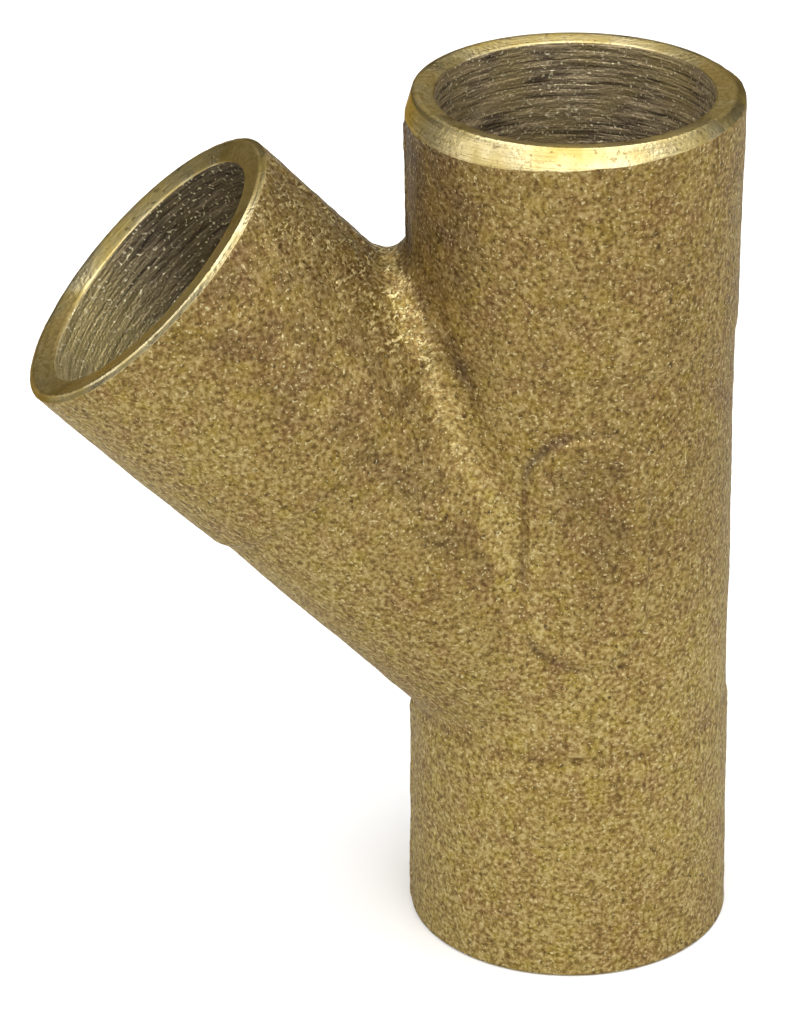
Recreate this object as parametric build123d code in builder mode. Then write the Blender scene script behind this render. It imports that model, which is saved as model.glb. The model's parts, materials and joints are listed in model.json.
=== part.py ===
"""Cast bronze 45 degree wye with three equal sockets for soldered copper tube.

The fitting is one casting. A straight run stands on its lower mouth, and a branch of the
same size leaves it at 45 degrees, towards -X. Each of the three legs ends in a hub that is
faced and bored to take the end of a tube. The upper and branch rims are chamfered as well.

Frame: origin at the centre of the lower mouth, +Z up along the run. Lengths in millimetres.
"""

import os
from math import cos, radians, sin

from build123d import *

# Legs, from the point where the centre lines cross to each mouth
lower_leg_length = 25.8
upper_leg_length = 48.5
branch_leg_length = 48.7
branch_angle = 45.0

# Casting: plain bodies that stop inside the hubs, and a hub on each leg
run_body_radius = 13.15
branch_body_radius = 12.95
body_inset = 3.0
hub_root_radius = 13.35
hub_mouth_radius = 13.55
hub_length = 19.0
shoulder_length = 1.5
crotch_fillet_radius = 2.4

# Machined sockets for tube of 22.2 mm (7/8 in) outside diameter
cup_radius = 11.175
cup_depth = 19.05
waterway_radius = 9.95

# Outer edge of each rim: a turned chamfer above, and an edge left almost sharp below
chamfered_rim_radius = 12.75
chamfer_depth = 1.3
plain_rim_radius = 13.4
plain_edge_depth = 0.15

# Blank raised pad on the front of the run, where such castings are marked
pad_length = 20.4
pad_width = 9.8
pad_height = 0.35
pad_edge_radius = 0.3
pad_centre_height = 39.6

# Places worked out from the dimensions above
run_length = lower_leg_length + upper_leg_length
tilt = radians(branch_angle)
branch_start = Plane(
    origin=(0, 0, lower_leg_length),
    x_dir=(-cos(tilt), 0, -sin(tilt)),
    z_dir=(-sin(tilt), 0, cos(tilt)),
)

# Each mouth is a plane on its rim whose normal points out along the leg
lower_mouth = Plane(origin=(0, 0, 0), x_dir=(1, 0, 0), z_dir=(0, 0, -1))
upper_mouth = Plane(origin=(0, 0, run_length), x_dir=(1, 0, 0), z_dir=(0, 0, 1))
branch_mouth = branch_start.offset(branch_leg_length)

# The pad: a rounded slot that follows the curve of the run
with BuildPart() as marking_pad:
    pad_face_radius = run_body_radius + pad_height
    with BuildSketch(Plane.XZ):
        with Locations((0, pad_centre_height)):
            SlotOverall(pad_length, pad_width, rotation=90)
    extrude(amount=2 * pad_face_radius)
    with BuildSketch(Plane.XY):
        Circle(pad_face_radius)
    extrude(amount=run_length, mode=Mode.INTERSECT)
    pad_face = marking_pad.faces().sort_by(Axis.Y).first
    fillet(pad_face.edges(), pad_edge_radius)

# The casting and its machining
with BuildPart() as wye_body:
    # Bodies of the run and the branch, rounded where they meet
    with BuildSketch(Plane.XY.offset(body_inset)):
        Circle(run_body_radius)
    extrude(amount=run_length - 2 * body_inset)
    with BuildSketch(branch_start):
        Circle(branch_body_radius)
    extrude(amount=branch_leg_length - body_inset)
    meeting_edges = wye_body.edges().filter_by(GeomType.BSPLINE)
    fillet(meeting_edges, crotch_fillet_radius)

    # A hub around each mouth, drafted towards its root
    hubs = [
        (lower_mouth, run_body_radius, plain_rim_radius, plain_edge_depth),
        (upper_mouth, run_body_radius, chamfered_rim_radius, chamfer_depth),
        (branch_mouth, branch_body_radius, chamfered_rim_radius, chamfer_depth),
    ]
    for mouth, body_radius, rim_radius, edge_depth in hubs:
        section = Plane(origin=mouth.origin, x_dir=mouth.x_dir, z_dir=-mouth.y_dir)
        with BuildSketch(section):
            with BuildLine():
                Polyline(
                    (0, 0),
                    (rim_radius, 0),
                    (hub_mouth_radius, -edge_depth),
                    (hub_root_radius, -hub_length),
                    (body_radius, -hub_length - shoulder_length),
                    (0, -hub_length - shoulder_length),
                    close=True,
                )
            make_face()
        revolve(axis=Axis(mouth.origin, mouth.z_dir))
    add(marking_pad.part)

    # The waterway of each leg, and the cup that the tube slides into as far as its stop
    sockets = [
        (lower_mouth, lower_leg_length),
        (upper_mouth, upper_leg_length),
        (branch_mouth, branch_leg_length),
    ]
    for mouth, leg_length in sockets:
        with BuildSketch(mouth):
            Circle(waterway_radius)
        extrude(amount=-leg_length, mode=Mode.SUBTRACT)
        with BuildSketch(mouth):
            Circle(cup_radius)
        extrude(amount=-cup_depth, mode=Mode.SUBTRACT)

os.makedirs("parts", exist_ok=True)
wye_body.part.label = "wye_body"
export_step(wye_body.part, "parts/wye_body.step")
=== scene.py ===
"""Cast bronze 45 degree wye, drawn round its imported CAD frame.

The visible piece is one closed mesh of four-sided faces. Three legs (upper, lower and branch) share
a seam where they meet. Each leg is a stack of rings: cast skin, chamfer, rim, bored cup, stop and
cored waterway. The skin is then moved onto a rounded union of the run and the branch, and roughened,
and the cups get their tool marks.
"""

import json
import math

import bpy
import numpy as np
from mathutils import Matrix, Vector, noise


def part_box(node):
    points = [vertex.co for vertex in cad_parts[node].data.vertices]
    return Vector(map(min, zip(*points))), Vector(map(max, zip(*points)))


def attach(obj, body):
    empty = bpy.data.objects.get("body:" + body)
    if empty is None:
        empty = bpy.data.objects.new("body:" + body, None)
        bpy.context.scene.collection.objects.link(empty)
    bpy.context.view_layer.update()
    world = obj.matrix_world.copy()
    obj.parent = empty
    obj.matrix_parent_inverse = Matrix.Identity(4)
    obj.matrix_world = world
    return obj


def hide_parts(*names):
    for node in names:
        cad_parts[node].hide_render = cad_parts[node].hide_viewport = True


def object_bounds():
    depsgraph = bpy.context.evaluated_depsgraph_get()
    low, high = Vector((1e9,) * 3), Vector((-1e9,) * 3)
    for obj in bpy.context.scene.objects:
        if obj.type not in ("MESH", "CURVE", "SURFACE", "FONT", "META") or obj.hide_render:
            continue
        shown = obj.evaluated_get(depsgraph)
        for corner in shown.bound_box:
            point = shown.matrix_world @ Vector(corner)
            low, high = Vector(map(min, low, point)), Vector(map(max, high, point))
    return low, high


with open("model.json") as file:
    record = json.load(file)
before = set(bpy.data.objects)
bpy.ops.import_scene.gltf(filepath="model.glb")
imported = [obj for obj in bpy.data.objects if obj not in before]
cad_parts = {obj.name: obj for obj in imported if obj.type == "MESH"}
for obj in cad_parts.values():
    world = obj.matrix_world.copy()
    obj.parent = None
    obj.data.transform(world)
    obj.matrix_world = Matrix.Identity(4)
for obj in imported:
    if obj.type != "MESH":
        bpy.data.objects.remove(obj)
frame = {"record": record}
cad_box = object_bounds()

MM = 0.001

# ---------------------------------------------------------------- sizes, in millimetres

mounts = {mount["name"]: mount for mount in frame["record"]["mounts"]}
upper_mouth = np.array(mounts["upper_socket"]["pos_m"]) / MM
branch_mouth = np.array(mounts["branch_socket"]["pos_m"]) / MM
branch_axis = np.array(mounts["branch_socket"]["axis"])
cup_radius = mounts["upper_socket"]["dims"]["r_mm"]
cup_depth = mounts["upper_socket"]["dims"]["length_mm"]

# The centre lines cross where the branch's own line comes back to the Z axis.
branch_length = branch_mouth[0] / branch_axis[0]
crossing = branch_mouth - branch_length * branch_axis
lower_length = crossing[2]
upper_length = upper_mouth[2] - crossing[2]

hub_mouth_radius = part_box("wye_body")[1][1] / MM
hub_root_radius = hub_mouth_radius - 0.2
hub_length = 19.0
run_radius = hub_mouth_radius - 0.4
branch_radius = hub_mouth_radius - 0.6
shoulder_length = 1.4
waterway_radius = 9.95

# The crotch is rounded by a smaller ball on the middle plane than on the flanks.
tight_crotch = 1.6
open_crotch = 2.7
crotch_flank = 7.0

# The crest of each rim drops away outwards to the chamfer, and the rim is dished inwards to the bore.
crest_drop_limit = 0.14
rim_dish = 0.22
edge_break = 0.06

# Columns of faces round each leg, and the length of a row on each kind of surface.
columns = 320
skin_row = 0.28
cup_row = 0.25
core_row = 0.9

# Materials of the bands of a leg, in the order of the mesh's slots.
CAST, RIM, CUP, CORE = range(4)

angles = np.arange(columns) * 2 * math.pi / columns
toward_side = np.sin(angles)
toward_front = np.cos(angles)
front = np.array((0.0, -1.0, 0.0))


def smooth_step(x):
    """0 up to 0, 1 from 1 on, and a smooth rise between."""
    x = np.clip(x, 0, 1)
    return x * x * (3 - 2 * x)


def noise_at(points, size):
    """Smooth noise from -1 to 1 at each point, with features of this size in millimetres."""
    return np.array([noise.noise(point) for point in (points / size).tolist()])


def uneven(mean, swing, most):
    """A value at each angle that is greatest at the angle most, in degrees from the front."""
    return mean + swing * np.cos(angles - math.radians(most))


class Leg:
    """One leg, measured along its axis from the crossing. Angle 0 is its front, a quarter turn its side.

    A gap is the angle to the neighbouring leg, on the side and on the far side. The crest's width, its
    lift past the mouth and the chamfer's depth go round unevenly, each given as uneven() takes it.
    """

    least_chamfer = 0.05

    def __init__(
        self, axis, side, length, side_gap, far_gap, body_radius, crest_radius, crest_width, lift, chamfer
    ):
        self.axis = np.array(axis, float)
        self.side = np.array(side, float)
        self.length = length
        self.gaps = np.where(toward_side >= 0, side_gap, far_gap)
        self.body_radius = body_radius
        self.crest_radius = crest_radius
        self.crest_width = uneven(*crest_width)
        self.flipped = np.dot(np.cross(front, self.side), self.axis) < 0
        self.crest = length + uneven(*lift)
        # The lower edge of a shallow chamfer wanders less than that of a deep one.
        wander = min(1, 1.5 * chamfer[0])
        self.chamfer_depth = np.maximum(uneven(*chamfer) + wander * self.ragged(), self.least_chamfer)
        self.skin_edge = self.crest - self.chamfer_depth

    def ragged(self):
        """Wander of the edge where the true cut of the chamfer meets the rough skin, at each angle."""
        level = np.full(columns, self.length)
        ring = np.stack((toward_front, toward_side, level), axis=1) * hub_mouth_radius
        return 0.10 * noise_at(ring, 4.0) + 0.07 * noise_at(ring, 1.2) + 0.05 * noise_at(ring, 0.5)

    def points(self, radius, height):
        """Points on the leg at each angle, at a radius from its axis and a height along it."""
        out = toward_front[:, None] * front + toward_side[:, None] * self.side
        radius = np.broadcast_to(radius, columns)[:, None]
        height = np.broadcast_to(height, columns)[:, None]
        return crossing + radius * out + height * self.axis

    def seam_height(self, radius):
        """How far along the leg a tube of this radius meets its neighbours, at each angle."""
        return radius * np.abs(toward_side) / np.tan(self.gaps / 2)

    def skin_radius(self, height):
        """Outside radius of the cast skin at a height along the leg."""
        below_mouth = self.length - height
        taper = np.clip(below_mouth / hub_length, 0, 1)
        hub = hub_mouth_radius + (hub_root_radius - hub_mouth_radius) * taper
        return hub + (self.body_radius - hub) * smooth_step((below_mouth - hub_length) / shoulder_length)


tilt = math.acos(branch_axis[2])
straight = math.pi
legs = {
    "upper": Leg(
        (0, 0, 1), (-1, 0, 0), upper_length, tilt, straight, run_radius, crest_radius=12.5,
        crest_width=(0.45, 0.25, 180), lift=(0, 0.05, 90), chamfer=(1.25, 0.8, 75),
    ),
    "branch": Leg(
        branch_axis, (math.cos(tilt), 0, math.sin(tilt)), branch_length, tilt, straight - tilt,
        branch_radius, crest_radius=12.9,
        crest_width=(0.24, 0.06, 180), lift=(0.2, 0.42, -150), chamfer=(0.3, 0.12, 40),
    ),
    "lower": Leg(
        (0, 0, -1), (-1, 0, 0), lower_length, straight - tilt, straight, run_radius, crest_radius=13.15,
        crest_width=(0.3, 0, 0), lift=(0, 0, 0), chamfer=(0.1, 0, 0),
    ),
}


# ---------------------------------------------------------------- rings of one leg

def spread(start, end, step):
    """Fractions from 0 to 1, without 0, that cut a length into rows no longer than step."""
    rows = max(2, math.ceil(abs(end - start) / step))
    return np.arange(1, rows + 1) / rows


def leg_rings(leg):
    """(radius, height, material of the band before it, distance along the tool's path) for each ring."""
    seam_to_level = 7.0
    level_to_mouth = 1.0
    rings = []

    def add_ring(radius, height, band, path=0.0):
        rings.append((
            np.broadcast_to(radius, columns), np.broadcast_to(height, columns), band,
            np.broadcast_to(path, columns),
        ))

    # Cast skin: from the seam to a level ring, then on to the ragged edge of the chamfer.
    seam = leg.seam_height(leg.body_radius)
    level = seam.max() + seam_to_level
    add_ring(leg.body_radius, seam, CAST)
    for part in spread(0, level, skin_row):
        height = seam + (level - seam) * part
        add_ring(leg.skin_radius(height), height, CAST)
    for part in spread(level, leg.length - level_to_mouth, skin_row):
        height = level + (leg.skin_edge - level) * part
        add_ring(leg.skin_radius(height), height, CAST)

    # Chamfer: from the skin up to the crest, which is rounded over.
    crest_start = leg.crest_radius + leg.crest_width
    crest_drop = np.minimum(crest_drop_limit, 0.4 * leg.chamfer_depth)
    for part in (0.03, 0.2, 0.4, 0.6, 0.8, 1.0):
        drop = leg.chamfer_depth + (crest_drop - leg.chamfer_depth) * part
        add_ring(hub_mouth_radius + (crest_start - hub_mouth_radius) * part, leg.crest - drop, RIM, -drop)
    for part in (0.75, 0.5, 0.25, 0.0):
        height = leg.crest - crest_drop * part**2
        add_ring(leg.crest_radius + leg.crest_width * part, height, RIM, 0.1 * part)

    # Rim: a shallow dish from the crest in to the bore, whose edge is just broken.
    dish = leg.crest_radius - cup_radius
    bore_edge = leg.length - rim_dish
    for part in (0.12, 0.3, 0.5, 0.7, 0.85, 1 - edge_break / dish):
        height = leg.crest + (bore_edge - leg.crest) * part**1.15
        add_ring(leg.crest_radius - dish * part, height, RIM, dish * part)
    bore_top = bore_edge - edge_break

    # Cup: down to the stop, across it, and on down the cored waterway to the inner seam.
    stop = leg.length - cup_depth
    add_ring(cup_radius, bore_top, RIM, dish + edge_break)
    for part in spread(bore_top, stop, cup_row):
        height = bore_top + (stop - bore_top) * part
        add_ring(cup_radius, height, CUP, dish + leg.length - height)
    for part in (0.5, 1.0):
        add_ring(cup_radius + (waterway_radius - cup_radius) * part, stop, CUP, dish + cup_depth + part)
    inner_seam = leg.seam_height(waterway_radius)
    for part in spread(stop, inner_seam.min(), core_row):
        height = stop + (inner_seam - stop) * part
        add_ring(waterway_radius, height, CORE)
    return rings


# ---------------------------------------------------------------- the joined mesh

half = columns // 2
SHARED_ARCS = {
    "upper": ("crotch", "back of run"),
    "branch": ("crotch", "underside"),
    "lower": ("underside", "back of run"),
}


class Seam:
    """Vertices that the legs share where they meet: a front and a back point, and three arcs between."""

    def __init__(self, first):
        self.front = first
        self.back = first + 1
        self.arcs = {}
        first += 2
        for name in ("crotch", "underside", "back of run"):
            self.arcs[name] = np.arange(first, first + half - 1)
            first += half - 1
        self.count = 2 + 3 * (half - 1)

    def ring(self, leg_name):
        near, far = SHARED_ARCS[leg_name]
        return np.concatenate(((self.front,), self.arcs[near], (self.back,), self.arcs[far][::-1]))


def build_wye():
    """Vertices, faces, face materials, and each vertex's band, place on the tool's path and depth."""
    outer = Seam(0)
    inner = Seam(outer.count)
    first_free = outer.count + inner.count
    stacks = {name: leg_rings(leg) for name, leg in legs.items()}
    total = first_free + sum((len(stack) - 2) * columns for stack in stacks.values())
    points = np.zeros((total, 3))
    band_of = np.zeros(total, int)
    turning = np.zeros((total, 3))
    skin_depth = np.zeros(total)
    faces, materials = [], []
    for name, leg in legs.items():
        stack = stacks[name]
        last = len(stack) - 1
        previous = None
        for index, (radius, height, band, path) in enumerate(stack):
            if index == 0:
                ring = outer.ring(name)
            elif index == last:
                ring = inner.ring(name)
            else:
                ring = np.arange(first_free, first_free + columns)
                first_free += columns
            points[ring] = leg.points(radius, height)
            band_of[ring] = band
            turning[ring] = np.stack((toward_front, toward_side, path), axis=1)
            skin_depth[ring] = leg.skin_edge - height
            if previous is not None:
                corners = (previous, np.roll(previous, -1), np.roll(ring, -1), ring)
                quads = np.stack(corners[::-1] if leg.flipped else corners, axis=1)
                faces.append(quads)
                materials.append(np.full(columns, band))
            previous = ring
    return points, np.concatenate(faces), np.concatenate(materials), band_of, turning, skin_depth


# ---------------------------------------------------------------- shape of the cast skin

# Distance from the branch where a point is behind the crossing, which the branch does not reach.
far_away = 99.0


def run_skin(z):
    """Outside radius of the run at a height, as if it had no branch."""
    above = legs["upper"].skin_radius(z - crossing[2])
    below = legs["lower"].skin_radius(crossing[2] - z)
    return np.where(z > crossing[2], above, below)


def outside_distance(points):
    """Distance from the rounded union of run and branch, found as a ball rolled along their crotch."""
    rel = points - crossing
    run_out = rel * (1, 1, 0)
    along = rel @ branch_axis
    branch_out = rel - along[:, None] * branch_axis
    run_r = np.linalg.norm(run_out, axis=1) + 1e-9
    branch_r = np.linalg.norm(branch_out, axis=1) + 1e-9
    to_run = run_r - run_skin(points[:, 2])
    to_branch = np.where(along > 0, branch_r - legs["branch"].skin_radius(along), far_away)
    cosine = np.sum(run_out * branch_out, axis=1) / (run_r * branch_r)
    on_flank = smooth_step(np.abs(points[:, 1]) / crotch_flank)
    ball = tight_crotch + (open_crotch - tight_crotch) * on_flank
    u, v = ball - to_run, ball - to_branch
    in_fillet = (u > cosine * v) & (v > cosine * u) & (cosine < 0.9999)
    reach = np.sqrt(np.maximum(u * u + v * v - 2 * cosine * u * v, 0) / np.maximum(1 - cosine**2, 1e-6))
    return np.where(in_fillet, ball - reach, np.minimum(to_run, to_branch))


def slope_of(points):
    """Unit direction in which the distance grows fastest."""
    step = 0.01
    rises = [
        outside_distance(points + step * axis) - outside_distance(points - step * axis)
        for axis in np.eye(3)
    ]
    grad = np.stack(rises, axis=1)
    return grad / np.maximum(np.linalg.norm(grad, axis=1, keepdims=True), 1e-9)


def settle(points, times=6):
    """Moves points onto the skin."""
    for _ in range(times):
        points = points - outside_distance(points)[:, None] * slope_of(points)
    return points


def edges_of(faces):
    """Each pair of vertices that share an edge, once in each direction."""
    return np.concatenate([faces[:, (k, (k + 1) % 4)] for k in range(4)])


def neighbour_mean(values, edges):
    """Mean of each vertex's neighbours. Every edge is met once from each end."""
    count = np.bincount(edges[:, 0], minlength=len(values))
    sums = [np.bincount(edges[:, 0], column[edges[:, 1]], len(values)) for column in values.T]
    return np.stack(sums, axis=1) / count[:, None]


def vertex_normals(points, faces):
    """Unit normal at each vertex, as the area-weighted mean over its faces."""
    diagonals = points[faces[:, 2]] - points[faces[:, 0]], points[faces[:, 3]] - points[faces[:, 1]]
    face_normals = np.cross(*diagonals)
    total = np.zeros_like(points)
    for corner in range(4):
        for k in range(3):
            total[:, k] += np.bincount(faces[:, corner], face_normals[:, k], len(points))
    return total / np.maximum(np.linalg.norm(total, axis=1, keepdims=True), 1e-12)


def round_the_crotch(points, edges, skin, depth):
    """Moves the skin onto the rounded union, then evens out the rows that the rounding bunched up."""
    mouth_margin = 3.0
    least_move = 0.02
    rows_round_it = 10
    passes = 12
    relax = 0.6
    free = skin & (depth > mouth_margin)
    start = points.copy()
    points[free] = settle(points[free])
    moved = (np.linalg.norm(points - start, axis=1) > least_move).astype(float)[:, None]
    for _ in range(rows_round_it):
        moved = np.maximum(moved, neighbour_mean(moved, edges))
    near = free & (moved[:, 0] > least_move)
    pull = smooth_step(moved[:, 0] * 2)[:, None]
    for _ in range(passes):
        target = neighbour_mean(points, edges)
        points[near] += relax * (pull * (target - points))[near]
        points[near] = settle(points[near], 2)
    return points


# ---------------------------------------------------------------- places on the cast skin

pad_centre = crossing[2] + 13.8
pad_half_length = 10.2
pad_half_width = 4.9
pad_border = 1.1
pad_edge = 0.7
hub_foot = hub_length + shoulder_length


def bell(x, middle, width):
    """1 at the middle, falling away to both sides."""
    return np.exp(-(((x - middle) / width) ** 2))


def inside_pad(points):
    """How far each point is inside the marking pad's outline, a rounded slot on the front of the run."""
    across = run_radius * np.arctan2(points[:, 0], -points[:, 1])
    along = points[:, 2] - pad_centre
    straight_half = pad_half_length - pad_half_width
    past_end = np.maximum(np.abs(along) - straight_half, 0)
    return pad_half_width - np.hypot(across, past_end)


def pad_field(inside):
    """1 on the pad's field, 0 on its border and outside it."""
    return smooth_step((inside - pad_border) / pad_edge)


def past_seam(name, points):
    """Side part of each point's angle on a leg, and how far it is past the crotch seam along that leg."""
    leg = legs[name]
    rel = points - crossing
    along = rel @ leg.axis
    out = rel - along[:, None] * leg.axis
    sideways = out @ leg.side / np.maximum(np.linalg.norm(out, axis=1), 1e-9)
    return sideways, along - leg.body_radius * np.maximum(sideways, 0) / math.tan(tilt / 2)


def on_run(points):
    """1 on the skin of the run, falling to 0 where the branch leaves it."""
    branch_starts = 1.13
    fade = 0.07
    return smooth_step((branch_starts - np.hypot(points[:, 0], points[:, 1]) / run_radius) / fade)


# ---------------------------------------------------------------- painted shade, darkening, rubbing and painted glints, from 0 to 1

# How strong each darkening is: painted shade beside the crotch, up the branch side and at the lower hub's
# foot, a painted shadow round the pad, and plain darkening on the pad's field, the run and the branch.
shade_beside_crotch = 0.65
shade_up_branch_side = 0.42
shadow_round_pad = 0.55
on_pad = 0.14
shade_at_hub_foot = 0.34
faint_on_run = 0.34
faint_on_branch = 0.08
faint_on_branch_top = 0.4

# How strongly the skin is rubbed: smoother, wrinkled, and brightened with painted glints.
crotch_strip = 0.7
crotch_halo = 0.35
branch_top = 0.38
strip_past_seam = 3.2


def run_painted_shade(points):
    """Painted shade on the run: beside the crotch, and up the upper leg's side towards the branch, where
    less light falls.
    """
    sideways, past = past_seam("upper", points)
    # Painted shade beside the crotch and up the side towards the branch.
    beside = bell(past + 3 * sideways, 7.5, 3.0) * smooth_step((sideways - 0.4) / 0.5)
    up_the_side = smooth_step((sideways - 0.45) / 0.5) * smooth_step(past / 3)
    return np.maximum(shade_beside_crotch * beside, shade_up_branch_side * up_the_side)


def shade_lines_and_pad_field(points):
    """Painted shadow round the pad on its branch side, a darker field on the pad, and painted shade at the
    foot of the lower hub.
    """
    inside = inside_pad(points)
    facing_branch = smooth_step(0.6 - points[:, 0] / 8) * (points[:, 1] < 0)
    # Painted shadow at the foot of the pad, on the side towards the branch.
    ring = shadow_round_pad * bell(inside, -0.45, 0.4) * facing_branch
    field = on_pad * pad_field(inside)
    # Painted shade at the foot of the lower hub's shoulder.
    foot = shade_at_hub_foot * bell(points[:, 2], hub_foot + 0.2, 0.6)
    return np.maximum(np.maximum(ring, field), foot)


def darkening_at(points):
    """Darker skin: painted shade and shadow on the run, a darker pad field, and faint darkening up the
    upper leg and along the branch, most on its top.
    """
    share = on_run(points)
    blotches = 1 + 0.6 * noise_at(points, 4.0) + 0.6 * noise_at(points, 1.5)
    strong = np.maximum(run_painted_shade(points), shade_lines_and_pad_field(points)) * share * blotches
    run_past = past_seam("upper", points)[1]
    run_faint = faint_on_run * smooth_step(run_past / 16)
    sideways, past = past_seam("branch", points)
    toward_top = smooth_step((sideways + 0.5) / 0.9)
    branch_faint = (faint_on_branch + faint_on_branch_top * toward_top) * smooth_step(past / 8)
    faint = (run_faint * share + branch_faint * (1 - share)) * (1 + 0.4 * noise_at(points, 2.5))
    return np.clip(strong + faint, 0, 1)


def rubbing_and_glints_at(points):
    """How much the skin is rubbed along the branch's side of the crotch, and a little on the branch's top.
    Its bright strokes are painted glints.
    """
    sideways, past = past_seam("branch", points)
    strip = crotch_strip * bell(past, strip_past_seam, 1.6) + crotch_halo * bell(past, strip_past_seam, 7)
    strip += branch_top * smooth_step((sideways - 0.6) / 0.35)
    mottle = 0.6 + 1.6 * noise_at(points * (1, 1, 2.0), 1.6)
    shown = smooth_step((sideways - 0.5) / 0.35)
    return np.clip(strip * shown * mottle * (1 - on_run(points)), 0, 1)


# ---------------------------------------------------------------- relief of the cast skin

pad_relief = 0.38
pad_field_drop = 0.2
fin_relief = 0.16
wrinkle_relief = 0.06
skin_edge_fade = 0.5


def relief(points, depth):
    """Height of the cast surface above its smooth shape, in millimetres."""
    swell = 0.09 * noise_at(points, 8.0) + 0.05 * noise_at(points + 40, 3.2)
    lumps = 0.035 * noise_at(points + 80, 1.4) + 0.035 * noise_at(points + 120, 0.75)
    fin = bell(points[:, 1], 0, 0.3) * (fin_relief + 0.08 * noise_at(points * (1, 0.2, 1), 5.0))
    wrinkles = wrinkle_relief * rubbing_and_glints_at(points) * noise_at(points * (0.8, 0.8, 2.4), 1.0)
    inside = inside_pad(points)
    pad = pad_relief * smooth_step(0.5 + inside / pad_edge)
    pad -= pad_field_drop * pad_field(inside)
    height = swell + lumps + fin + wrinkles + pad
    return height * smooth_step(depth / skin_edge_fade)


def turn_cups(points, normals, band, turning):
    """Tool marks round each cup: rings of uneven depth that fade in and out round the bore."""
    in_cup = band == CUP
    path = turning[in_cup]
    coarse = 0.045 * noise_at(path * (1.6, 1.6, 1.6), 1.0)
    fine = 0.03 * noise_at(path * (3.4, 3.4, 3.2), 1.0)
    marks = coarse + fine
    points[in_cup] += normals[in_cup] * marks[:, None]
    return points


def shape_wye():
    """The finished mesh: vertices, faces, face materials, and each vertex's place on the tool's path."""
    points, faces, materials, band, turning, depth = build_wye()
    edges = edges_of(faces)
    skin = band == CAST
    points = round_the_crotch(points, edges, skin, depth)
    normals = vertex_normals(points, faces)
    points[skin] += normals[skin] * relief(points[skin], depth[skin])[:, None]
    points = turn_cups(points, normals, band, turning)
    return points, faces, materials, turning


# ---------------------------------------------------------------- materials

class Nodes:
    """Short calls for wiring a material's nodes."""

    def __init__(self, name):
        self.material = bpy.data.materials.new(name)
        self.material.use_nodes = True
        self.tree = self.material.node_tree
        self.shader = self.tree.nodes["Principled BSDF"]

    def add(self, kind, inputs=None, **settings):
        """Adds a node of this kind with its settings and inputs."""
        node = self.tree.nodes.new(kind)
        for key, value in settings.items():
            setattr(node, key, value)
        for key, value in (inputs or {}).items():
            self.feed(node.inputs[key], value)
        return node

    def feed(self, socket, value):
        """Links a socket to another node's output, or gives it a plain value."""
        if isinstance(value, bpy.types.NodeSocket):
            self.tree.links.new(value, socket)
        else:
            socket.default_value = value

    def noise(self, vector, scale, detail=2.0, rough=0.5):
        inputs = {"Vector": vector, "Scale": scale, "Detail": detail, "Roughness": rough}
        return self.add("ShaderNodeTexNoise", inputs).outputs["Fac"]

    def stretched(self, vector, heading, stretch):
        """Coordinates that change slowly along a level heading, which is an angle from +X in radians."""
        inputs = {"Vector": vector, "Rotation": (0, 0, heading), "Scale": (stretch, 1, 1)}
        return self.add("ShaderNodeMapping", inputs, vector_type="TEXTURE").outputs["Vector"]

    def range(self, value, low, high, to_low=0.0, to_high=1.0):
        """Maps low to high onto to_low to to_high, and stops at both ends."""
        inputs = {"Value": value, "From Min": low, "From Max": high, "To Min": to_low, "To Max": to_high}
        return self.add("ShaderNodeMapRange", inputs).outputs["Result"]

    def mix(self, fac, a, b, blend="MIX"):
        node = self.add("ShaderNodeMix", data_type="RGBA", blend_type=blend)
        for socket, value in (("Factor_Float", fac), ("A_Color", a), ("B_Color", b)):
            self.feed(next(i for i in node.inputs if i.identifier == socket), value)
        return next(o for o in node.outputs if o.identifier == "Result_Color")

    def math(self, operation, a, b=0.0):
        node = self.add("ShaderNodeMath", {0: a, 1: b}, operation=operation)
        return node.outputs[0]

    def bump(self, height, distance, strength=1.0, normal=None):
        inputs = {"Height": height, "Distance": distance, "Strength": strength}
        if normal is not None:
            inputs["Normal"] = normal
        return self.add("ShaderNodeBump", inputs).outputs["Normal"]

    def attribute(self, name):
        """The node that reads one of the mesh's per-vertex notes."""
        return self.add("ShaderNodeAttribute", attribute_name=name)

    def part(self, vector, axis):
        """One part of a vector: X, Y or Z."""
        return self.add("ShaderNodeSeparateXYZ", {0: vector}).outputs[axis]

    def finish(self, **inputs):
        """Sets the shader's inputs and gives back the material."""
        for key, value in inputs.items():
            self.feed(self.shader.inputs[key.replace("_", " ")], value)
        return self.material


def srgb(red, green, blue):
    """A colour given in 0-255 display values, as the linear colour that a shader needs."""
    linear = [((v / 255 + 0.055) / 1.055) ** 2.4 if v > 10 else v / 255 / 12.92 for v in (red, green, blue)]
    return (*linear, 1.0)


# Heading of the fine bright strokes on rubbed skin, which are painted glints.
stroke_heading = math.radians(51)
stroke_stretch = 2.2

# What darkened skin keeps of its colour, where the darkening is faint and where it is strong. Much of it is
# painted shade.
FAINT_DARKENING = (0.72, 0.66, 0.60, 1)
STRONG_DARKENING = (0.46, 0.44, 0.74, 1)


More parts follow.
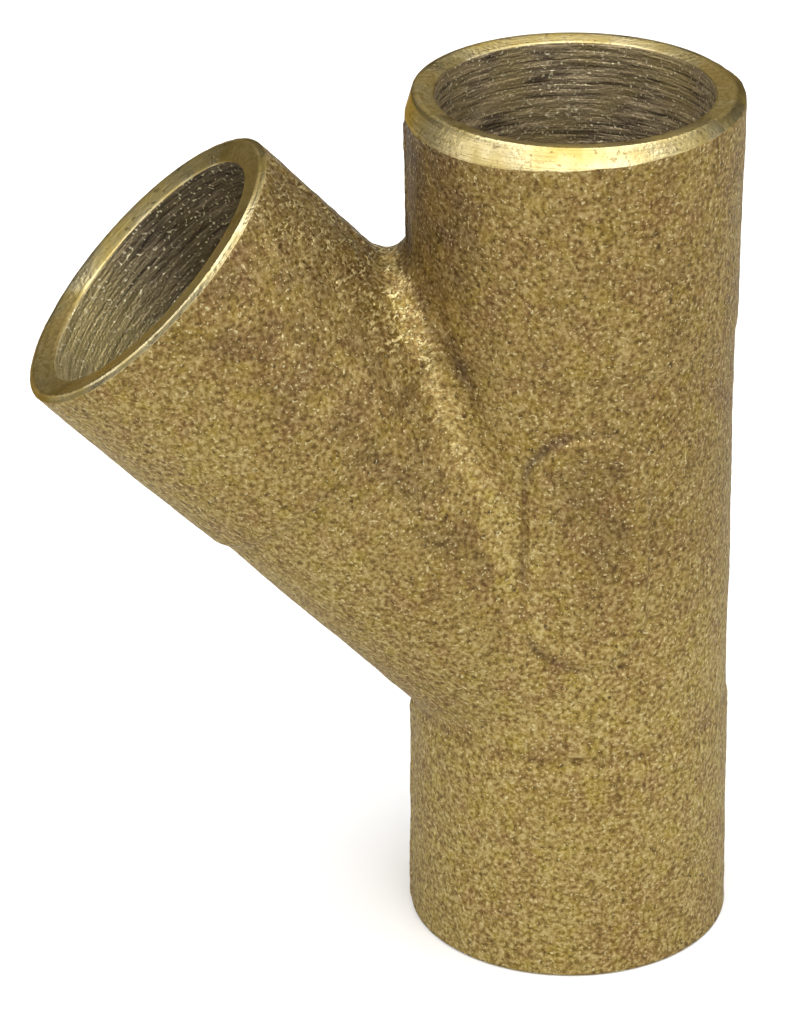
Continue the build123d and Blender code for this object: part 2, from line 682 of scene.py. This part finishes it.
def cast_skin():
    """Sand-cast bronze: dull olive gold, browner in patches, with dark pits. Darkened where its darkening
    note says, partly painted shade, and with bright specks and rubbed strokes that are painted glints.
    """
    m = Nodes("cast_bronze_skin")
    place = m.add("ShaderNodeTexCoord").outputs["Object"]
    darkening = m.attribute("darkening").outputs["Fac"]
    rubbing_and_glints = m.attribute("rubbing_and_glints").outputs["Fac"]
    clouds = m.range(m.noise(place, 110, 3), 0.35, 0.65)
    brown = m.range(m.noise(place, 430, 2), 0.45, 0.7, 0, 0.7)
    olive = m.range(m.noise(place, 620, 2), 0.5, 0.7, 0, 0.7)
    grain = m.noise(place, 2700, 1.5, 0.6)
    pits = m.noise(place, 1500, 2.0, 0.6)
    grit = m.noise(place, 3800, 1.0, 0.5)
    colour = m.mix(clouds, srgb(156, 134, 72), srgb(147, 122, 62))
    colour = m.mix(brown, colour, srgb(138, 106, 60))
    colour = m.mix(olive, colour, srgb(154, 133, 50))
    colour = m.mix(m.range(grain, 0.3, 0.5, 0.8, 0), colour, srgb(84, 60, 16))
    colour = m.mix(m.range(grain, 0.5, 0.7, 0, 0.75), colour, srgb(194, 176, 120))
    # Darkening, partly painted shade and shadow, multiplied into the colour.
    colour = m.mix(m.range(darkening, 0, 0.5), colour, FAINT_DARKENING, "MULTIPLY")
    colour = m.mix(m.range(darkening, 0.35, 1), colour, STRONG_DARKENING, "MULTIPLY")
    colour = m.mix(m.range(pits, 0.26, 0.36, 0.8, 0), colour, srgb(58, 38, 20))
    # Painted glints: sparse bright specks, which are also smoother.
    glints = m.range(grit, 0.63, 0.73)
    colour = m.mix(m.math("MULTIPLY", glints, 0.6), colour, srgb(222, 208, 156))
    # Painted glints: fine bright strokes where the skin is rubbed, also bumped.
    strokes = m.range(m.noise(m.stretched(place, stroke_heading, stroke_stretch), 3300, 1), 0.5, 0.62)
    rubbed_glint_strokes = m.math("MULTIPLY", rubbing_and_glints, strokes)
    colour = m.mix(rubbed_glint_strokes, colour, srgb(232, 212, 150))
    bumped = m.bump(grain, 0.14 * MM, 0.7)
    bumped = m.bump(pits, 0.2 * MM, 0.5, bumped)
    bumped = m.bump(rubbed_glint_strokes, 0.2 * MM, 0.8, bumped)
    rough = m.range(m.math("MAXIMUM", rubbing_and_glints, glints), 0, 1, 0.58, 0.34)
    return m.finish(Base_Color=colour, Metallic=0.6, Roughness=rough, Normal=bumped)


def turned_coordinates(m, round_scale, path_scale):
    """Coordinates that change slowly round the tool's path and quickly across it."""
    turning = m.attribute("turning").outputs["Vector"]
    scale = (round_scale, round_scale, path_scale)
    return m.add("ShaderNodeVectorMath", {0: turning, 1: scale}, operation="MULTIPLY").outputs[0]


def machined_rim():
    """Faced and chamfered bronze: a satin gold with faint circular tool marks, rougher and darker towards
    the two sides of each rim, less so on the chamfer. The darkening there is painted shade.
    """
    m = Nodes("machined_rim")
    place = m.add("ShaderNodeTexCoord").outputs["Object"]
    lines = m.noise(turned_coordinates(m, 1.2, 9.0), 1.0, 3)
    cloud = m.noise(place, 300, 3)
    specks = m.noise(place, 2400, 2)
    turning = m.attribute("turning").outputs["Vector"]
    sideways = m.math("ABSOLUTE", m.part(turning, "Y"))
    off_chamfer = m.range(m.part(turning, "Z"), -0.5, 0.1, 0.3, 1.0)
    # Painted shade: darker and rougher towards the two sides of the rim, in cloudy patches.
    dull_shaded_sides = m.range(m.math("ADD", sideways, m.range(cloud, 0.3, 0.7, -0.15, 0.15)), 0.62, 0.92)
    dull_shaded_sides = m.math("MULTIPLY", dull_shaded_sides, off_chamfer)
    colour = m.mix(m.range(cloud, 0.38, 0.68), srgb(214, 199, 153), srgb(188, 167, 99))
    colour = m.mix(m.range(lines, 0.3, 0.5, 0.45, 0), colour, srgb(130, 106, 56))
    shaded_sides_mix = m.math("MULTIPLY", dull_shaded_sides, m.range(specks, 0.35, 0.6, 0.7, 1.0))
    colour = m.mix(shaded_sides_mix, colour, srgb(124, 107, 64))
    colour = m.mix(m.range(specks, 0.3, 0.4, 0.6, 0), colour, srgb(104, 82, 42))
    bumped = m.bump(lines, 0.04 * MM, 0.7)
    bumped = m.bump(specks, 0.04 * MM, 0.6, bumped)
    bumped = m.bump(m.noise(place, 3000, 2), 0.08 * MM, 0.6, bumped)
    rough = m.math("MAXIMUM", m.range(cloud, 0.35, 0.65, 0.26, 0.46), m.range(dull_shaded_sides, 0, 1, 0, 0.6))
    gold = srgb(214, 176, 96)
    return m.finish(Base_Color=colour, Metallic=0.97, Roughness=rough, Normal=bumped, Specular_Tint=gold)


def turned_cup():
    """Bored cup: dull brown-grey metal with broken circular streaks, and bright specks that are painted
    glints. The branch's cup has painted shade on its upper side and painted light on its lower side.
    """
    m = Nodes("turned_cup")
    place = m.add("ShaderNodeTexCoord").outputs["Object"]
    streaks = m.noise(turned_coordinates(m, 3.2, 2.6), 1.0, 4, 0.65)
    grooves = m.noise(turned_coordinates(m, 1.6, 4.5), 1.0, 2, 0.5)
    cloud = m.noise(place, 190, 2)
    specks = m.noise(place, 4000, 0)
    sideways = m.part(m.attribute("turning").outputs["Vector"], "Y")
    in_branch = m.range(m.part(place, "X"), -11.5 * MM, -13.0 * MM)
    # Painted shade on the upper side of the branch's cup, and painted light on its lower side.
    painted_shade_upper_side = m.math("MULTIPLY", in_branch, m.range(sideways, -0.75, 0.0, 0, 0.6))
    painted_light_lower_side = m.math("MULTIPLY", in_branch, m.range(sideways, -0.3, -1.0, 0, 0.35))
    colour = m.mix(m.range(streaks, 0.35, 0.65), srgb(82, 70, 56), srgb(200, 180, 142))
    colour = m.mix(m.range(cloud, 0.42, 0.62, 0, 0.6), colour, srgb(160, 142, 92))
    colour = m.mix(m.range(grooves, 0.3, 0.46, 0.8, 0), colour, srgb(46, 38, 32))
    colour = m.mix(painted_shade_upper_side, colour, srgb(38, 31, 26))
    colour = m.mix(painted_light_lower_side, colour, srgb(190, 176, 112))
    # Painted glints: bright specks, which are also smoother.
    colour = m.mix(m.range(specks, 0.68, 0.78, 0, 0.9), colour, srgb(236, 226, 186))
    bumped = m.bump(streaks, 0.12 * MM, 0.8)
    bumped = m.bump(grooves, 0.1 * MM, 0.6, bumped)
    bumped = m.bump(specks, 0.08 * MM, 0.7, bumped)
    rough = m.range(specks, 0.3, 0.7, 0.5, 0.32)
    return m.finish(Base_Color=colour, Metallic=0.6, Roughness=rough, Normal=bumped)


def cored_waterway():
    """Inside as it left the sand core: brown, dull and coarse."""
    m = Nodes("cored_waterway")
    place = m.add("ShaderNodeTexCoord").outputs["Object"]
    grain = m.noise(place, 1300, 3, 0.65)
    cloud = m.noise(place, 200, 2)
    colour = m.mix(cloud, srgb(120, 96, 62), srgb(92, 74, 52))
    colour = m.mix(m.range(grain, 0.3, 0.5, 0.6, 0), colour, srgb(50, 38, 26))
    return m.finish(Base_Color=colour, Metallic=0.4, Roughness=0.65, Normal=m.bump(grain, 0.3 * MM))


# ---------------------------------------------------------------- objects

def add_note(mesh, name, kind, field, values):
    """Stores a number or a vector per vertex, for the materials to read."""
    mesh.attributes.new(name, kind, "POINT").data.foreach_set(field, values.ravel())


def add_wye():
    points, faces, materials, turning = shape_wye()
    mesh = bpy.data.meshes.new("wye_body_cast")
    mesh.vertices.add(len(points))
    mesh.vertices.foreach_set("co", (points * MM).ravel())
    mesh.loops.add(faces.size)
    mesh.loops.foreach_set("vertex_index", faces.ravel())
    mesh.polygons.add(len(faces))
    mesh.polygons.foreach_set("loop_start", np.arange(0, faces.size, 4))
    for make in (cast_skin, machined_rim, turned_cup, cored_waterway):
        mesh.materials.append(make())
    mesh.polygons.foreach_set("material_index", materials)
    add_note(mesh, "turning", "FLOAT_VECTOR", "vector", turning)
    add_note(mesh, "darkening", "FLOAT", "value", darkening_at(points))
    add_note(mesh, "rubbing_and_glints", "FLOAT", "value", rubbing_and_glints_at(points))
    mesh.update(calc_edges=True)
    mesh.validate()
    mesh.shade_smooth()
    wye = bpy.data.objects.new("wye_body_cast", mesh)
    bpy.context.scene.collection.objects.link(wye)
    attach(wye, "root")
    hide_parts("wye_body")


def pale_floor():
    """Off-white near the part. Seen by the camera, it turns into the white of the backdrop further out."""
    near, far = 0.25, 0.8
    white, grey, black = (1, 1, 1, 1), (0.5, 0.5, 0.5, 1), (0, 0, 0, 1)
    m = Nodes("pale_floor")
    place = m.add("ShaderNodeTexCoord").outputs["Object"]
    path = m.add("ShaderNodeLightPath")
    colour = m.mix(m.noise(place, 6, 2), (0.93, 0.93, 0.93, 1), (0.97, 0.97, 0.97, 1))
    colour = m.mix(path.outputs["Is Glossy Ray"], colour, grey)
    distance = m.add("ShaderNodeVectorMath", {0: place}, operation="LENGTH").outputs["Value"]
    fade = m.math("MULTIPLY", path.outputs["Is Camera Ray"], m.range(distance, near, far))
    colour = m.mix(fade, colour, black)
    return m.finish(Base_Color=colour, Roughness=0.8, Emission_Color=white, Emission_Strength=fade)


def add_floor():
    size = 3.0
    mesh = bpy.data.meshes.new("floor")
    corners = [(-size, -size, 0), (size, -size, 0), (size, size, 0), (-size, size, 0)]
    mesh.from_pydata(corners, [], [(0, 1, 2, 3)])
    mesh.materials.append(pale_floor())
    floor = bpy.data.objects.new("floor", mesh)
    floor.location.z = cad_box[0][2] - 0.05 * MM
    bpy.context.scene.collection.objects.link(floor)


# ---------------------------------------------------------------- lights, camera and backdrop

middle = (cad_box[0] + cad_box[1]) / 2
light_distance = 1.2


def away_from_middle(azimuth, elevation):
    """Unit direction out from the part, from angles in degrees. Azimuth 0 is the front, 90 is +X."""
    a, e = math.radians(azimuth), math.radians(elevation)
    return Vector((math.sin(a) * math.cos(e), -math.cos(a) * math.cos(e), math.sin(e)))


def add_light(name, azimuth, elevation, width, height, power):
    """A soft light aimed at the middle of the part."""
    back = away_from_middle(azimuth, elevation)
    light = bpy.data.lights.new(name, "AREA")
    light.shape = "RECTANGLE"
    light.size = width
    light.size_y = height
    light.energy = power
    lamp = bpy.data.objects.new(name, light)
    lamp.location = middle + back * light_distance
    lamp.rotation_euler = back.to_track_quat("Z", "Y").to_euler()
    bpy.context.scene.collection.objects.link(lamp)


def add_lights():
    add_light("key", -6, 36, 1.8, 0.75, 11)
    add_light("left side", -75, 12, 0.8, 0.8, 3.4)
    add_light("right side", 75, 12, 0.8, 0.8, 3.3)
    add_light("top", 0, 88, 1.6, 1.6, 21)
    add_light("back", 176, 46, 0.3, 0.25, 0.8)


def add_camera():
    azimuth, elevation, roll = -4.0, 26.65, math.radians(-0.57)
    distance = 358.44 * MM
    focal_length = 152.8
    aim = middle + Vector((0.84, 0, 0.48)) * MM
    back = away_from_middle(azimuth, elevation)
    across = Vector((math.cos(math.radians(azimuth)), math.sin(math.radians(azimuth)), 0))
    up = back.cross(across)
    right = math.cos(roll) * across + math.sin(roll) * up
    data = bpy.data.cameras.new("camera")
    data.lens = focal_length
    data.clip_start = 0.01
    data.clip_end = 20
    camera = bpy.data.objects.new("camera", data)
    turn = Matrix((right, back.cross(right), back)).transposed().to_4x4()
    camera.matrix_world = Matrix.Translation(aim + back * distance) @ turn
    bpy.context.scene.collection.objects.link(camera)
    bpy.context.scene.camera = camera


room_front = 0.4
room_behind = 0.1


def set_world():
    """A white backdrop for the camera. The metal sees a dimmer room, darkest behind the part."""
    world = bpy.data.worlds.new("studio")
    world.use_nodes = True
    tree = world.node_tree
    direction = tree.nodes.new("ShaderNodeSeparateXYZ")
    tree.links.new(tree.nodes.new("ShaderNodeTexCoord").outputs["Generated"], direction.inputs[0])
    room = tree.nodes.new("ShaderNodeMapRange")
    room.inputs["From Max"].default_value = 0.6
    room.inputs["To Min"].default_value = room_front
    room.inputs["To Max"].default_value = room_behind
    tree.links.new(direction.outputs["Y"], room.inputs["Value"])
    path = tree.nodes.new("ShaderNodeLightPath")
    strength = tree.nodes.new("ShaderNodeMapRange")
    tree.links.new(room.outputs["Result"], strength.inputs["To Min"])
    tree.links.new(path.outputs["Is Camera Ray"], strength.inputs["Value"])
    tree.links.new(strength.outputs["Result"], tree.nodes["Background"].inputs["Strength"])
    tree.nodes["Background"].inputs["Color"].default_value = (1, 1, 1, 1)
    bpy.context.scene.world = world
    bpy.context.scene.view_settings.view_transform = "Standard"


add_wye()
add_floor()
set_world()
add_lights()
add_camera()
